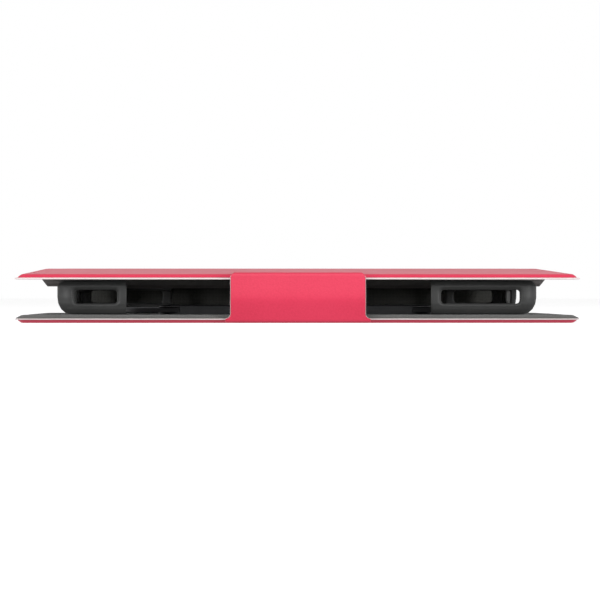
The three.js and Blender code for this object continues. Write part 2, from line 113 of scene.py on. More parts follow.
# Where the strap starts and ends its turn at each fold, in the same (y, z) form.
FOOT_TURN = ((-0.2, 0.0), (-1.9, 3.0))
FOLD_TURN = ((-2.6, 21.2), (1.2, 25.2))

CORNERS = {"near_left": (-1, -1), "near_right": (1, -1), "far_right": (1, 1), "far_left": (-1, 1)}
HOLDER_HALF = (116.5, 82.0)
SHORT_LEG, LONG_LEG = 34.0, 52.0
SHORT_WINDOW, LONG_WINDOW = 20.4, 38.0
WINDOW_START, SIDE_WINDOW_START = 8.8, 18.0
WINDOW_LOW, WINDOW_HIGH, WINDOW_RADIUS = 9.3, 16.0, 1.5
WINDOW_BEVEL, BEVEL_CLEAR = 1.5, 0.2
VOXEL = 0.42

FLOOR_HALF = 12000
FLOOR_GLOW = 0.60
# Sky levels by height: 0 is straight down, 0.5 the horizon and 1 straight up.
WORLD_STOPS = [
    (0.25, 0.55), (0.44, 0.16), (0.48, 0.2), (0.495, 1.0), (0.55, 1.0), (0.68, 0.42), (1.0, 0.3),
]
# Each light's place and size in metres, and its power in watts.
LIGHTS = {
    "key": ((-0.3, -1.1, 1.15), (0.9, 0.5), 11.4),
    "left": ((-1.3, -0.9, 0.2), (0.3, 0.5), 10),
    "right": ((1.3, -0.9, 0.2), (0.3, 0.5), 12),
}
CAMERA_PLACE = (-26.3, NEAR_Y - 1420.0, 13.1)
CAMERA_LENS = 177.8
CAMERA_YAW, CAMERA_PITCH = 1.10, -0.083


# ---- material building ----------------------------------------------------------------
class Nodes:
    """A material's node tree, with short calls for the nodes used here."""

    def __init__(self, name):
        self.material = bpy.data.materials.new(name)
        self.material.use_nodes = True
        self.tree = self.material.node_tree
        self.shader = self.tree.nodes["Principled BSDF"]
        coordinates = self.tree.nodes.new("ShaderNodeTexCoord")
        self.place = self.scaled(coordinates.outputs["Object"], 1 / MM)

    def link(self, source, socket):
        self.tree.links.new(source, socket)

    def scaled(self, vector, factor):
        node = self.tree.nodes.new("ShaderNodeVectorMath")
        node.operation = "SCALE"
        self.link(vector, node.inputs[0])
        node.inputs["Scale"].default_value = factor
        return node.outputs["Vector"]

    def stretched(self, factors):
        node = self.tree.nodes.new("ShaderNodeVectorMath")
        node.operation = "MULTIPLY"
        self.link(self.place, node.inputs[0])
        node.inputs[1].default_value = factors
        return node.outputs["Vector"]

    def math(self, operation, first, second=0.0, third=0.0, clamp=False):
        node = self.tree.nodes.new("ShaderNodeMath")
        node.operation = operation
        node.use_clamp = clamp
        for socket, value in zip(node.inputs, (first, second, third)):
            if isinstance(value, (int, float)):
                socket.default_value = value
            else:
                self.link(value, socket)
        return node.outputs[0]

    def noise(self, pitch, detail=2.0, roughness=0.5, where=None):
        """Noise whose features are about `pitch` millimetres apart."""
        node = self.tree.nodes.new("ShaderNodeTexNoise")
        node.inputs["Scale"].default_value = 1 / pitch
        node.inputs["Detail"].default_value = detail
        node.inputs["Roughness"].default_value = roughness
        self.link(where or self.place, node.inputs["Vector"])
        return node.outputs["Fac"]

    def cells(self, pitch, feature="F1", where=None):
        node = self.tree.nodes.new("ShaderNodeTexVoronoi")
        node.feature = feature
        node.inputs["Scale"].default_value = 1 / pitch
        self.link(where or self.place, node.inputs["Vector"])
        return node.outputs["Distance"]

    def ranged(self, value, low, high, to_low, to_high):
        node = self.tree.nodes.new("ShaderNodeMapRange")
        for name, number in (("From Min", low), ("From Max", high),
                             ("To Min", to_low), ("To Max", to_high)):
            node.inputs[name].default_value = number
        self.link(value, node.inputs["Value"])
        return node.outputs["Result"]

    def colours(self, value, *stops):
        """A colour ramp of (position, (r, g, b)) stops."""
        node = self.tree.nodes.new("ShaderNodeValToRGB")
        ramp = node.color_ramp
        while len(ramp.elements) < len(stops):
            ramp.elements.new(0.5)
        for element, (position, colour) in zip(ramp.elements, stops):
            element.position = position
            element.color = (*colour, 1)
        self.link(value, node.inputs["Fac"])
        return node.outputs["Color"]

    def bump(self, height, distance_mm, strength=1.0, under=None):
        node = self.tree.nodes.new("ShaderNodeBump")
        node.inputs["Strength"].default_value = strength
        node.inputs["Distance"].default_value = distance_mm * MM
        self.link(height, node.inputs["Height"])
        if under is not None:
            self.link(under, node.inputs["Normal"])
        return node.outputs["Normal"]

    def finish(self, colour=None, roughness=None, normal=None, **values):
        for socket, source in (("Base Color", colour), ("Roughness", roughness), ("Normal", normal)):
            if source is not None and not isinstance(source, (int, float)):
                self.link(source, self.shader.inputs[socket])
            elif source is not None:
                self.shader.inputs[socket].default_value = source
        for name, value in values.items():
            self.shader.inputs[name.replace("_", " ")].default_value = value
        return self.material


def leatherette():
    """Pebbled pink leatherette: small domed cells with fine creases between them. Its colour is
    darker in the creases: painted shade.
    """
    n = Nodes("pink_leatherette")
    pebble = n.cells(0.8, "SMOOTH_F1")
    creases = n.noise(0.36, 3, 0.6)
    domes = n.ranged(pebble, 0.0, 0.7, 1.0, 0.0)
    height = n.math("MULTIPLY_ADD", creases, 0.4, domes)
    drift = n.ranged(n.noise(46, 2), 0.25, 0.75, 0.35, 0.65)
    # The colour is lighter on the dome tops and darker in the creases between them. This is painted
    # shade, mixed with a slow random tone.
    tone_and_painted_shade = n.math("MULTIPLY_ADD", domes, 0.16, n.math("MULTIPLY", drift, 0.84))
    colour = n.colours(
        tone_and_painted_shade, (0.2, (0.60, 0.024, 0.064)), (0.5, (0.70, 0.033, 0.086)), (0.8, (0.76, 0.042, 0.100)),
    )
    rough = n.ranged(n.noise(9, 4), 0.3, 0.7, 0.42, 0.52)
    return n.finish(colour, rough, n.bump(height, 0.06, 0.4),
                    Specular_IOR_Level=0.42, Sheen_Weight=0.08, Sheen_Roughness=0.5)


def cut_edge():
    """The off-white knitted backing of the leatherette, where it is cut, tinted pink with painted
    light bounced from the pink leatherette.
    """
    n = Nodes("cut_edge")
    fibres = n.noise(0.35, 4, 0.7, n.stretched((1.0, 1.0, 3.0)))
    # The pink in these colours is painted light bounced from the pink leatherette. The backing itself
    # is off-white.
    colour = n.colours(fibres, (0.25, (0.70, 0.54, 0.54)), (0.6, (0.90, 0.77, 0.77)))
    return n.finish(colour, 0.88, n.bump(fibres, 0.12, 0.7), Sheen_Weight=0.3)


def weave(name, pitch, dark, light):
    """A plain weave: warp and weft threads cross over and under each other. Its colour is darker at
    the threads' sides and in the gaps between them: painted shade.
    """
    n = Nodes(name)
    split = n.tree.nodes.new("ShaderNodeSeparateXYZ")
    n.link(n.place, split.inputs[0])
    along = n.math("DIVIDE", split.outputs["X"], pitch)
    across = n.math("DIVIDE", n.math("ADD", split.outputs["Y"], split.outputs["Z"]), pitch)
    wobble = n.math("MULTIPLY", n.math("SUBTRACT", n.noise(3.1, 2), 0.5), 0.5)
    along, across = n.math("ADD", along, wobble), n.math("ADD", across, wobble)
    turn = n.math("ADD", n.math("FLOOR", along), n.math("FLOOR", across))
    over = n.math("FRACT", n.math("MULTIPLY", turn, 0.5))
    over = n.math("GREATER_THAN", over, 0.25)

    def thread(through, length):
        """A thread's height: round in section, and highest half way along its float."""
        section = n.math("SINE", n.math("MULTIPLY", n.math("FRACT", through), math.pi))
        arch = n.math("SINE", n.math("MULTIPLY", n.math("FRACT", length), math.pi))
        return n.math("MULTIPLY", n.math("SQRT", section), n.math("MULTIPLY_ADD", arch, 0.6, 0.4))

    warp, weft = thread(along, across), thread(across, along)
    height = n.math("ADD", n.math("MULTIPLY", warp, over),
                    n.math("MULTIPLY", weft, n.math("SUBTRACT", 1.0, over)))
    fuzz = n.noise(0.22, 3, 0.6)
    # The colour is lighter on the threads' raised middles and darker at their rounded sides and in
    # the gaps. This is painted shade, mixed with a slow random tone.
    tone_and_painted_shade = n.math("MULTIPLY_ADD", n.noise(11, 3), 0.35, n.math("MULTIPLY", height, 0.65))
    colour = n.colours(tone_and_painted_shade, (0.12, dark), (0.75, light))
    relief = n.bump(height, 0.16, 0.8, n.bump(fuzz, 0.05, 0.5))
    return n.finish(colour, 0.93, relief, Sheen_Weight=0.25, Sheen_Roughness=0.6)


def rubber(name, dark, light):
    """Matt moulded rubber: fine spark-eroded texture, with slightly polished patches."""
    n = Nodes(name)
    grain = n.noise(0.28, 3, 0.65)
    clouds = n.noise(17, 3)
    colour = n.colours(clouds, (0.3, dark), (0.7, light))
    rough = n.ranged(n.noise(6, 4), 0.3, 0.7, 0.46, 0.62)
    return n.finish(colour, rough, n.bump(grain, 0.025, 0.5), Specular_IOR_Level=0.45,
                    Sheen_Weight=0.08)


def plastic():
    n = Nodes("grey_plastic")
    grain = n.cells(0.3)
    # These dark greys are the plastic's own dark tone, pushed darker as painted shade for the
    # shadowed inside of the case.
    colour = n.colours(n.noise(22, 3), (0.3, (0.030, 0.031, 0.034)), (0.7, (0.041, 0.042, 0.046)))
    rough = n.ranged(n.noise(4, 4), 0.3, 0.7, 0.38, 0.5)
    return n.finish(colour, rough, n.bump(grain, 0.02, 0.5))


def steel(name="steel", colour=(0.55, 0.56, 0.58)):
    """Drawn or pressed steel with fine scratches along X."""
    n = Nodes(name)
    scratches = n.noise(0.12, 3, 0.6, n.stretched((0.08, 1.0, 1.0)))
    shade = n.colours(scratches, (0.2, tuple(0.82 * c for c in colour)), (0.8, colour))
    rough = n.ranged(scratches, 0.2, 0.8, 0.24, 0.42)
    return n.finish(shade, rough, n.bump(scratches, 0.01, 0.4), Metallic=1.0)


def board():
    n = Nodes("greyboard")
    fibres = n.noise(0.8, 5, 0.7, n.stretched((0.3, 1.0, 1.0)))
    colour = n.colours(fibres, (0.3, (0.20, 0.185, 0.165)), (0.7, (0.31, 0.29, 0.26)))
    return n.finish(colour, 0.9, n.bump(fibres, 0.06, 0.6))


def magnet():
    n = Nodes("magnet")
    specks = n.noise(0.4, 4, 0.7)
    colour = n.colours(specks, (0.3, (0.030, 0.028, 0.026)), (0.7, (0.055, 0.052, 0.050)))
    return n.finish(colour, 0.68, n.bump(specks, 0.03, 0.5), Metallic=0.3)


PINK = leatherette()
EDGE = cut_edge()
WEAVE = weave("grey_weave", 0.78, (0.011, 0.011, 0.009), (0.070, 0.071, 0.063))
DARK_WEAVE = weave("strap_weave", 0.5, (0.050, 0.050, 0.046), (0.150, 0.150, 0.140))
RUBBER = rubber("grey_rubber", (0.050, 0.051, 0.051), (0.066, 0.067, 0.066))
# The ridges get the grey rubber made lighter and warmer. The lightening is painted light for the
# shade under the front cover.
LIT_RIDGE_RUBBER = rubber("lit_ridge_rubber", (0.160, 0.147, 0.144), (0.196, 0.179, 0.177))
PLASTIC = plastic()
STEEL = steel()
BOARD = board()
MAGNET = magnet()


# ---- mesh building --------------------------------------------------------------------
def mesh_object(name, points, faces, materials, sharp=38, face_materials=None):
    """A mesh from millimetre points, smooth but for edges sharper than `sharp` degrees."""
    mesh = bpy.data.meshes.new(name)
    mesh.from_pydata([tuple(p) for p in np.asarray(points) * MM], [], faces)
    for material in materials:
        mesh.materials.append(material)
    if face_materials is not None:
        mesh.polygons.foreach_set("material_index", face_materials)
    mesh.validate()
    mesh.shade_smooth()
    mesh.set_sharp_from_angle(angle=math.radians(sharp))
    mesh.update()
    piece = bpy.data.objects.new(name, mesh)
    bpy.context.scene.collection.objects.link(piece)
    return piece


def place(piece, matrix_mm):
    """Moves a mesh's own points by a matrix whose translation is in millimetres."""
    matrix = matrix_mm.copy()
    matrix.translation = matrix_mm.translation * MM
    piece.data.transform(matrix)
    return piece


ARC_STEPS = 8


def outline(half_x, low_y, high_y, radius, inset=0.0, step=4.5):
    """A round-cornered rectangle as points. The count doesn't depend on the inset."""
    radius_now = max(radius - inset, 0.25)
    left, right = -half_x + inset + radius_now, half_x - inset - radius_now
    low, high = low_y + inset + radius_now, high_y - inset - radius_now
    per_x = max(2, round((2 * half_x) / step))
    per_y = max(2, round((high_y - low_y) / step))
    per_corner = ARC_STEPS
    centres = [(right, low, -90), (right, high, 0), (left, high, 90), (left, low, 180)]
    straights = [per_y, per_x, per_y, per_x]
    points = []
    for k, (cx, cy, start) in enumerate(centres):
        for i in range(per_corner + 1):
            angle = math.radians(start + 90 * i / per_corner)
            points.append((cx + radius_now * math.cos(angle), cy + radius_now * math.sin(angle)))
        after = centres[(k + 1) % 4]
        angle = math.radians(start + 90)
        here = np.array(points[-1])
        there = np.array([after[0] + radius_now * math.cos(angle),
                          after[1] + radius_now * math.sin(angle)])
        for i in range(1, straights[k]):
            points.append(tuple(here + (there - here) * i / straights[k]))
    return np.array(points)


def loft(rings):
    """Points and faces of a closed body through rings of equal count, capped at both ends."""
    count = len(rings[0])
    points = np.vstack(rings)
    faces = []
    for r in range(len(rings) - 1):
        for i in range(count):
            j = (i + 1) % count
            a, b = r * count, (r + 1) * count
            faces.append((a + i, a + j, b + j, b + i))
    faces.append(tuple(range(count - 1, -1, -1)))
    last = (len(rings) - 1) * count
    faces.append(tuple(range(last, last + count)))
    return points, faces


def plate(name, half_x, low_y, high_y, radius, profile, materials, wave=0.0, sharp=38):
    """A plate lofted through (inset, height) steps, from the middle of its underside out
    round its edge to the middle of its top. `wave` lets its outer edge rise and fall."""
    rings = []
    for inset, height in profile:
        flat = outline(half_x, low_y, high_y, radius, inset)
        ripple = wave * edge_ripple(flat) * math.exp(-inset / 14)
        rings.append(np.column_stack([flat, height + ripple]))
    points, faces = loft(rings)
    return mesh_object(name, points, faces, materials, sharp)


def edge_ripple(flat):
    """A slow, uneven rise and fall round a cover's edge, from -1 to 1."""
    x, y = flat[:, 0], flat[:, 1]
    return (0.5 * np.sin(x / 21 + 0.6) + 0.3 * np.sin(x / 8.7 + 2.1)
            + 0.3 * np.sin(y / 17 + 1.3) + 0.2 * np.sin(y / 7.3))


def normals_of(path):
    """Unit normals to the left of an open (y, z) path."""
    along = np.gradient(path, axis=0)
    along /= np.linalg.norm(along, axis=1)[:, None]
    return np.column_stack([-along[:, 1], along[:, 0]])


def spaced(path, step):
    """The path's points again, about `step` apart along it, on a smooth curve."""
    path = np.asarray(path, float)
    lengths = np.r_[0, np.cumsum(np.linalg.norm(np.diff(path, axis=0), axis=1))]
    count = max(4, round(lengths[-1] / step))
    at = np.linspace(0, lengths[-1], count + 1)
    return np.column_stack([np.interp(at, lengths, path[:, k]) for k in range(2)])


def rounded_path(corners, radii, step):
    """Straight lines through the corners, with each inner corner rounded to its radius."""
    points = [np.array(corners[0], float)]
    for before, corner, after, radius in zip(corners, corners[1:], corners[2:], radii):
        before, corner, after = (np.array(p, float) for p in (before, corner, after))
        back = (before - corner) / np.linalg.norm(before - corner)
        on = (after - corner) / np.linalg.norm(after - corner)
        half = math.acos(float(np.clip(back @ on, -1, 1))) / 2
        reach = radius / math.tan(half)
        middle = (back + on) / np.linalg.norm(back + on)
        centre = corner + middle * radius / math.sin(half)
        first, last = corner + back * reach - centre, corner + on * reach - centre
        turn = math.atan2(first[0] * last[1] - first[1] * last[0], float(first @ last))
        for i in range(ARC_STEPS + 1):
            angle = turn * i / ARC_STEPS
            c, s = math.cos(angle), math.sin(angle)
            points.append(centre + (c * first[0] - s * first[1], s * first[0] + c * first[1]))
    points.append(np.array(corners[-1], float))
    return spaced(points, step)


def ribbon(name, path, thickness, half_width, materials, columns=48, side=1, edge_slot=None):
    """A strip of sheet swept along a (y, z) path. half_width gives its half width at each
    path point; side says on which side of the path its thickness lies. Edges are rounded."""
    inner = path + side * normals_of(path) * thickness
    rows = len(path)
    halves = np.array([half_width(k) for k in range(rows)])
    share = np.linspace(-1, 1, columns + 1)
    round_off = min(thickness * 0.45, 0.25)
    points = []
    for face_path, shrink in ((path, round_off), (inner, 0.0)):
        for k in range(rows):
            for s in share:
                points.append((s * (halves[k] - shrink), face_path[k][0], face_path[k][1]))
    wide = columns + 1
    sheet = rows * wide
    faces, marks = [], []

    def quad(a, b, c, d, mark=0):
        faces.append((a, b, c, d) if side > 0 else (d, c, b, a))
        marks.append(mark)

    for k in range(rows - 1):
        for i in range(columns):
            a = k * wide + i
            quad(a, a + wide, a + wide + 1, a + 1)
            b = sheet + a
            quad(b, b + 1, b + wide + 1, b + wide)
    edge = edge_slot or 0
    for k in range(rows - 1):
        a, b = k * wide, (k + 1) * wide
        quad(a, sheet + a, sheet + b, b, edge)
        a, b = a + columns, b + columns
        quad(a, b, sheet + b, sheet + a, edge)
    for i in range(columns):
        quad(i, i + 1, sheet + i + 1, sheet + i, edge)
        a = (rows - 1) * wide + i
        quad(a, sheet + a, sheet + a + 1, a + 1, edge)
    return mesh_object(name, points, faces, materials, 40, marks)


def modify(piece, kind, **settings):
    """Adds a modifier and applies it."""
    modifier = piece.modifiers.new(kind, kind)
    for key, value in settings.items():
        setattr(modifier, key, value)
    graph = bpy.context.evaluated_depsgraph_get()
    mesh = bpy.data.meshes.new_from_object(piece.evaluated_get(graph))
    piece.modifiers.clear()
    old, piece.data = piece.data, mesh
    mesh.name = old.name
    bpy.data.meshes.remove(old)
    return piece


def subtract(piece, cutter):
    modify(piece, "BOOLEAN", operation="DIFFERENCE", solver="EXACT", object=cutter,
           use_hole_tolerant=True)
    bpy.data.objects.remove(cutter)


def copy_of(node, name, material):
    """A new piece with a CAD node's shape. Its triangles don't share their points."""
    mesh = frame["nodes"][node].data.copy()
    mesh.materials.clear()
    mesh.materials.append(material)
    piece = bpy.data.objects.new(name, mesh)
    bpy.context.scene.collection.objects.link(piece)
    return piece


def settle(piece, body, slot, *nodes):
    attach(piece, body)
    if nodes:
        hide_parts(*nodes)
    return piece


# ---- covers ---------------------------------------------------------------------------
# How far in from its edge a plate's middle ring lies.
CENTRE = 88.0


def skin_profile(face, edge, sign):
    """(inset, height) steps of a leatherette cover, from its inner side round its pointed
    edge to its outer face. A pressed line follows the edge inside the bevel."""
    outer = [
        (0.1, 0.86), (0.9, 0.47), (1.7, 0.13), (EDGE_BEVEL, 0.03), (3.0, 0.0), (4.0, 0.0),
        (4.7, 0.10), (5.2, 0.11), (5.9, 0.0), (8.5, 0.0), (14, 0.0), (40, 0.0),
    ]
    steps = [(20, edge), (1.4, edge), (0.3, edge), (0.0, edge + sign * 0.1)]
    steps += [(inset, face - sign * depth * abs(edge - face)) for inset, depth in outer]
    return ([(CENTRE, edge)] + [(inset + SKIN_INSET, height) for inset, height in steps]
            + [(CENTRE, face)])


def back_cover():
    bottom, skin_top = BACK_LOW[2], BACK_HIGH[2]
    spec = (HALF_LENGTH, NEAR_Y, HINGE_Y, CORNER_RADIUS)
    # sign -1: the outer face is below the edge
    profile = skin_profile(bottom, skin_top, -1)[::-1]
    profile = [(inset, max(height, bottom)) for inset, height in profile]
    skin = plate("back_skin", *spec, profile, [PINK])
    settle(skin, "back_cover", "pink_leatherette", "back_cover_skin")

    low, high = extent("back_cover_backing")
    profile = [(CENTRE, low[2]), (1.6, low[2]), (0.5, low[2] + 0.1), (0.08, low[2] + 0.22),
               (0.0, low[2] + 0.34), (0.06, high[2] - 0.18), (0.5, high[2] - 0.06),
               (1.6, high[2]), (CENTRE, high[2])]
    backing = plate("back_edge", *spec, profile, [EDGE], wave=0.03)
    settle(backing, "back_cover", "cut_edge", "back_cover_backing")

    top = LINING_HIGH[2]
    low = LINING_LOW[2]
    profile = [(CENTRE, low), (1.4, low), (0.7, low), (0.5, low + 0.06), (0.55, low + 0.2),
               (1.2, low + 0.5), (2.1, low + 0.95), (3.0, top - 0.3), (3.7, top - 0.09),
               (4.6, top - 0.01), (7, top), (16, top), (CENTRE, top)]
    lining = plate("back_lining", *spec, profile, [WEAVE], wave=0.09)
    settle(lining, "back_cover", "grey_weave", "back_cover_lining")


def front_cover():
    spec = (HALF_LENGTH, FRONT_NEAR, FRONT_FAR, CORNER_RADIUS)
    skin = plate("front_skin", *spec, skin_profile(0.0, FRONT_SKIN_BOTTOM, 1), [PINK])
    settle(place(skin, FRONT_FRAME), "front_cover", "pink_leatherette", "front_cover_skin")

    top, middle, low = FRONT_SKIN_BOTTOM - 0.03, -2.2, -2.55
    profile = [(CENTRE, middle), (1.8, middle), (1.65, low), (0.6, low), (0.15, low + 0.08),
               (0.0, low + 0.28), (0.1, low + 0.5), (0.9, top - 0.06), (1.7, top), (CENTRE, top)]
    backing = plate("front_edge", *spec, profile, [EDGE], wave=0.04)
    settle(place(backing, FRONT_FRAME), "front_cover", "cut_edge", "front_cover_backing")

    profile = [(CENTRE, -2.6), (4, -2.6), (2.4, -2.58), (2.0, -2.5), (FRONT_LINING_MARGIN, -2.4),
               (1.95, -2.28), (2.4, -2.25), (CENTRE, -2.25)]
    lining = plate("front_lining", *spec, profile, [WEAVE])
    settle(place(lining, FRONT_FRAME), "front_cover", "grey_weave", "front_cover_lining")


# ---- spine ----------------------------------------------------------------------------
HINGE_START = HINGE_Y - EDGE_BEVEL - 1.0
FOLD_RADIUS = 2.6
SPINE_SEAMS = (5.5, 22.5)
FOLD_SINK = 0.03


def front_top(y):
    """Height of the front cover's outer face."""
    return FRONT_TOP_AT_SPINE - (SPINE_Y - y) * math.tan(SLOPE)


def spine():
    low_seam, high_seam = SPINE_SEAMS
    lower = rounded_path(
        [(HINGE_START, FOLD_SINK), (SPINE_Y, FOLD_SINK), (SPINE_Y, low_seam)], [FOLD_RADIUS], 0.4,
    )
    upper = rounded_path(
        [(SPINE_Y, high_seam), (SPINE_Y, front_top(SPINE_Y) - FOLD_SINK),
         (HINGE_START, front_top(HINGE_START) - FOLD_SINK)], [FOLD_RADIUS], 0.4,
    )
    wall = spaced([(SPINE_Y, low_seam), (SPINE_Y, high_seam)], 1.2)
    width = lambda k: HALF_SPINE
    parts = [("spine_fold_low", lower), ("spine_wall", wall), ("spine_fold_high", upper)]
    made = {}
    for name, path in parts:
        made[name] = ribbon(name, path, SKIN_THICKNESS, width, [PINK, EDGE], 60, 1, 1)
    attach(made["spine_wall"], "spine")
    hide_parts("spine_skin")
    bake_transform(made["spine_fold_low"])
    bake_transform(made["spine_fold_high"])

    low, high = extent("spine_lining")
    path = spaced([(low[1], high[2]), (low[1], low[2])], 1.5)
    lining = ribbon("spine_inner", path, high[1] - low[1], lambda k: high[0], [WEAVE], 60, 1)
    settle(lining, "spine", "grey_weave", "spine_lining")


# ---- strap ----------------------------------------------------------------------------
def riser_outer(z):
    """The strap's outer face above the floor: it is softly creased at mid height."""
    low, high = RISER_LOW[2], RISER_HIGH[2]
    t = (z - low) / (high - low)
    fall = lambda distance: math.hypot(distance, CREASE_SOFTNESS) - CREASE_SOFTNESS
    side = STRAP_CREASE if t < STRAP_CREASE else 1 - STRAP_CREASE
    return STRAP_FOOT_Y - STRAP_LEAN * t - STRAP_BULGE * (1 - fall(t - STRAP_CREASE) / fall(side))


def base_half(z):
    """The strap flares in a round fillet where it leaves the back cover's edge."""
    climb = np.clip(z - FILLET_FOOT_Z, 0, BASE_FILLET)
    return STRAP_HALF + BASE_FILLET - math.sqrt(BASE_FILLET ** 2 - (BASE_FILLET - climb) ** 2)


def upper_half(y, z):
    """The strap's half width above the seam: it narrows round a shoulder at the fold, and
    the tab's free end is rounded off."""
    into_fold = np.clip((z - RISER_HIGH[2] + SHOULDER_RADIUS) / SHOULDER_RADIUS, 0, 1)
    shoulder = (STRAP_HALF - TAB_HALF) * (1 - math.sqrt(1 - into_fold ** 2))
    if y < NEAR_Y:
        return STRAP_HALF - shoulder
    past = np.clip(y - (TAB_HIGH[1] - TAB_CORNER), 0, TAB_CORNER - 0.02)
    return TAB_HALF - TAB_CORNER + math.sqrt(TAB_CORNER ** 2 - past ** 2)


def beside_edge(points):
    """(y, z) points given from the covers' near edge, in the frame's own axes."""
    return [(NEAR_Y + y, z) for y, z in points]


def strap():
    rise = np.linspace(FOOT_TOP_Z, STRAP_SEAM_Z, 8)
    lower = spaced(beside_edge(STRAP_FOOT) + [(riser_outer(z), z) for z in rise], 0.35)
    above = lambda y: FRONT_TOP_AT_STRAP + (y - NEAR_Y) * math.tan(SLOPE)
    rise = np.linspace(STRAP_SEAM_Z, FOLD_START_Z, 30)
    flat = [(y, above(y) + TAB_LIFT)
            for y in np.linspace(NEAR_Y + TAB_FLAT_START, TAB_HIGH[1], 20)]
    upper = spaced([(riser_outer(z), z) for z in rise] + beside_edge(STRAP_FOLD) + flat, 0.6)

    def lower_width(path, backing):
        """The backing shows past the skin, but not where the strap lies on the cover."""
        grow = lambda z: (BACKING_SHOWS if z > FILLET_FOOT_Z else -BACKING_SHOWS) * backing
        return lambda k: base_half(path[k][1]) + grow(path[k][1])

    def upper_width(path, backing):
        return lambda k: upper_half(*path[k]) + BACKING_SHOWS * backing

    strips = (
        ("lower", lower, lower_width, ("back_cover", "strap_riser"), FOOT_TURN, "strap_riser"),
        ("upper", upper, upper_width, ("strap_riser", "strap_tab"), FOLD_TURN, "strap_tab"),
    )
    for name, path, width, bodies, turn, node in strips:
        skin = ribbon(f"strap_{name}", path, STRAP_SKIN, width(path, 0), [PINK, EDGE], 40, -1)
        backing_path = path - normals_of(path) * (STRAP_SKIN + STRAP_GAP)
        backing = ribbon(f"strap_{name}_backing", backing_path, STRAP_BACKING,
                         width(path, 1), [DARK_WEAVE, EDGE], 40, -1, 1)
        for piece, slot in ((skin, "pink_leatherette"), (backing, "cut_edge")):
            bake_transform(piece)
        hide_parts(f"{node}_skin")
        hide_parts(f"{node}_lining")


# ---- corner grips, arms and ridges ------------------------------------------------------
def window_bevel(width, height):
    """A cutter that opens a window's outer edge into a bevel. It stands in the X-Z plane
    with its outer face towards -Y, centred on the wall's face, and its inner end stays
    clear of the window's own sides, so that no two faces coincide."""
    rings = []
    for grow, y in ((WINDOW_BEVEL + 0.8, -0.8), (WINDOW_BEVEL, 0.0),
                    (-BEVEL_CLEAR, WINDOW_BEVEL + 0.5)):
        flat = outline(width / 2 + grow, -height / 2 - grow, height / 2 + grow,
                       WINDOW_RADIUS + grow, 0.0, 60)
        rings.append(np.column_stack([flat[:, 0], np.full(len(flat), y), flat[:, 1]]))
    points, faces = loft(rings)
    return mesh_object("cutter", points, [f[::-1] for f in faces], [])


def grip(corner, sx, sy):
    piece = copy_of(f"grip_{corner}", f"corner_grip_{corner}", RUBBER)
    legs = (SHORT_LEG, LONG_LEG) if sx * sy > 0 else (LONG_LEG, SHORT_LEG)
    for leg, along_x in zip(legs, (True, False)):
        start = WINDOW_START if along_x else SIDE_WINDOW_START
        end = WINDOW_START + (SHORT_WINDOW if leg == SHORT_LEG else LONG_WINDOW)
        width, middle = end - start, (start + end) / 2
        height = (WINDOW_LOW + WINDOW_HIGH) / 2
        cutter = window_bevel(width, WINDOW_HIGH - WINDOW_LOW)
        if along_x:
            turn = 0 if sy < 0 else 180
            spot = (sx * (HOLDER_HALF[0] - middle), sy * HOLDER_HALF[1], height)
        else:
            turn = 90 if sx > 0 else -90
            spot = (sx * HOLDER_HALF[0], sy * (HOLDER_HALF[1] - middle), height)
        place(cutter, Matrix.Translation(spot) @ Matrix.Rotation(math.radians(turn), 4, "Z"))
        subtract(piece, cutter)
    modify(piece, "REMESH", mode="VOXEL", voxel_size=VOXEL * MM, adaptivity=0.0)
    modify(piece, "SMOOTH", factor=0.6, iterations=7)
    piece.data.materials.clear()
    piece.data.materials.append(RUBBER)
    piece.data.shade_smooth()
    settle(piece, f"holder_{corner}", "grey_rubber", f"grip_{corner}")


def grips():
    for corner, (sx, sy) in CORNERS.items():
        grip(corner, sx, sy)


def plain_copy(node, name, material, slot, body):
    """The CAD node's own shape, sharp edges and all, in a finished material."""
    piece = copy_of(node, name, material)
    piece.data.shade_smooth()
    return settle(piece, body, slot, node)


def turned_part(name, node, profile, material, sides=40):
    """A part turned about the upright axis through a CAD node's middle. The profile runs
    from the axis below to the axis above, as (radius, height) points."""
    low, high = extent(node)
    middle = (low + high) / 2
    angles = [2 * math.pi * i / sides for i in range(sides)]
    rings = [np.array([(middle[0] + radius * math.cos(a), middle[1] + radius * math.sin(a), z)
                       for a in angles]) for radius, z in profile]
    points, faces = loft(rings)
    return mesh_object(name, points, faces, [material], 32)


def cross_recess(x, y, top):
    """A cutter for a cross-head screw: two tapered blades that meet on the axis."""
    blades = []
    for long_x, long_y in ((1.0, 0.24), (0.24, 1.0)):
        rings = []
        for z, share in ((top - 1.0, 0.45), (top + 0.3, 1.15)):
            half_x, half_y = long_x * share, long_y * share
            corners = [(-half_x, -half_y), (half_x, -half_y), (half_x, half_y), (-half_x, half_y)]
            rings.append(np.array([(x + u, y + v, z) for u, v in corners]))
        points, faces = loft(rings)
        blades.append(mesh_object("cutter", points, faces, []))
    return blades


def screw(node):
    low, high = extent(node)
    top, seat = high[2], high[2] - 0.7
    profile = [(0.05, low[2]), (0.7, low[2]), (1.0, low[2] + 0.3), (1.0, seat), (1.12, seat + 0.05),
               (2.02, top - 0.16), (2.08, top - 0.08), (2.02, top - 0.02), (1.9, top), (0.05, top)]
    piece = turned_part(f"{node}_turned", node, profile, STEEL)
    for blade in cross_recess(*((low + high) / 2)[:2], top):
        subtract(piece, blade)
    settle(piece, "back_cover", "steel", node)


